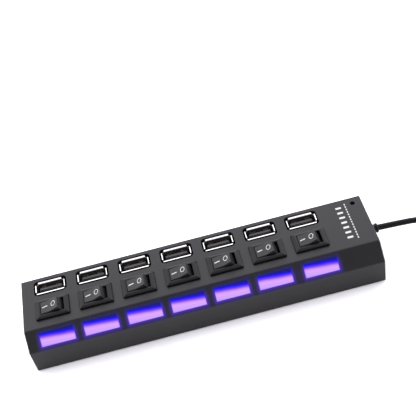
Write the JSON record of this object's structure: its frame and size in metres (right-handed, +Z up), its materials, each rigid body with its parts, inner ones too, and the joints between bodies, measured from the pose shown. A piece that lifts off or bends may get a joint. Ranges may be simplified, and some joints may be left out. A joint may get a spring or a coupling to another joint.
{
  "type": "usb hub",
  "caption": "Low powered desktop hub with upward-facing sockets, a rocker switch and a lit window beside each socket, and a coiled lead.",
  "frame": {"origin": "centre of the housing's outline, on the surface that its feet stand on", "axes": "+X runs along the housing towards the lead's exit, +Y points to the back (sockets), -Y is the front (lit windows), +Z is up"},
  "size_m": [0.2836, 0.0404, 0.0237],
  "materials": {
    "housing": "satin",
    "base": "fine texture",
    "screw": "bright zinc",
    "foot_rubber": "matte",
    "board": "solder mask",
    "chip": "moulded epoxy",
    "plated_shell": "bright plating",
    "insulator": "moulded",
    "switch_body": "satin",
    "rocker": "satin",
    "light_window": "milky, lit from behind",
    "lens": "clear",
    "gland": "matte",
    "cable_jacket": "satin PVC",
    "plug_body": "soft overmould",
    "plug_shell": "bright plating"
  },
  "bodies": {
    "root": {"top_shell": "housing", "base_cover": "base", "base_screw_1": "screw", "base_screw_2": "screw", "base_screw_3": "screw", "base_screw_4": "screw", "rubber_foot_1": "foot_rubber", "rubber_foot_2": "foot_rubber", "rubber_foot_3": "foot_rubber", "rubber_foot_4": "foot_rubber", "circuit_board": "board", "hub_chip": "chip", "socket_shell_1": "plated_shell", "socket_tongue_1": "insulator", "switch_body_1": "switch_body", "light_window_1": "light_window", "port_led_1": "lens", "socket_shell_2": "plated_shell", "socket_tongue_2": "insulator", "switch_body_2": "switch_body", "light_window_2": "light_window", "port_led_2": "lens", "socket_shell_3": "plated_shell", "socket_tongue_3": "insulator", "switch_body_3": "switch_body", "light_window_3": "light_window", "port_led_3": "lens", "socket_shell_4": "plated_shell", "socket_tongue_4": "insulator", "switch_body_4": "switch_body", "light_window_4": "light_window", "port_led_4": "lens", "socket_shell_5": "plated_shell", "socket_tongue_5": "insulator", "switch_body_5": "switch_body", "light_window_5": "light_window", "port_led_5": "lens", "socket_shell_6": "plated_shell", "socket_tongue_6": "insulator", "switch_body_6": "switch_body", "light_window_6": "light_window", "port_led_6": "lens", "socket_shell_7": "plated_shell", "socket_tongue_7": "insulator", "switch_body_7": "switch_body", "light_window_7": "light_window", "port_led_7": "lens", "power_led": "lens", "cable_gland": "gland", "cable_lead": "cable_jacket", "cable_coil": "cable_jacket", "plug_body": "plug_body", "plug_shell": "plug_shell"},
    "rocker_1": {"rocker_1": "rocker"},
    "rocker_2": {"rocker_2": "rocker"},
    "rocker_3": {"rocker_3": "rocker"},
    "rocker_4": {"rocker_4": "rocker"},
    "rocker_5": {"rocker_5": "rocker"},
    "rocker_6": {"rocker_6": "rocker"},
    "rocker_7": {"rocker_7": "rocker"}
  },
  "joints": [
    {"name": "rocker_1_tilt", "type": "hinge", "parent": "root", "child": "rocker_1", "pos_m": [-0.0661, -0.0015, 0.0181], "axis": [0, 1, 0], "range_deg": [0, 30]},
    {"name": "rocker_2_tilt", "type": "hinge", "parent": "root", "child": "rocker_2", "pos_m": [-0.0466, -0.0015, 0.0181], "axis": [0, 1, 0], "range_deg": [0, 30]},
    {"name": "rocker_3_tilt", "type": "hinge", "parent": "root", "child": "rocker_3", "pos_m": [-0.0271, -0.0015, 0.0181], "axis": [0, 1, 0], "range_deg": [0, 30]},
    {"name": "rocker_4_tilt", "type": "hinge", "parent": "root", "child": "rocker_4", "pos_m": [-0.0076, -0.0015, 0.0181], "axis": [0, 1, 0], "range_deg": [0, 30]},
    {"name": "rocker_5_tilt", "type": "hinge", "parent": "root", "child": "rocker_5", "pos_m": [0.0119, -0.0015, 0.0181], "axis": [0, 1, 0], "range_deg": [0, 30]},
    {"name": "rocker_6_tilt", "type": "hinge", "parent": "root", "child": "rocker_6", "pos_m": [0.0314, -0.0015, 0.0181], "axis": [0, 1, 0], "range_deg": [0, 30]},
    {"name": "rocker_7_tilt", "type": "hinge", "parent": "root", "child": "rocker_7", "pos_m": [0.0509, -0.0015, 0.0181], "axis": [0, 1, 0], "range_deg": [0, 30]}
  ]
}
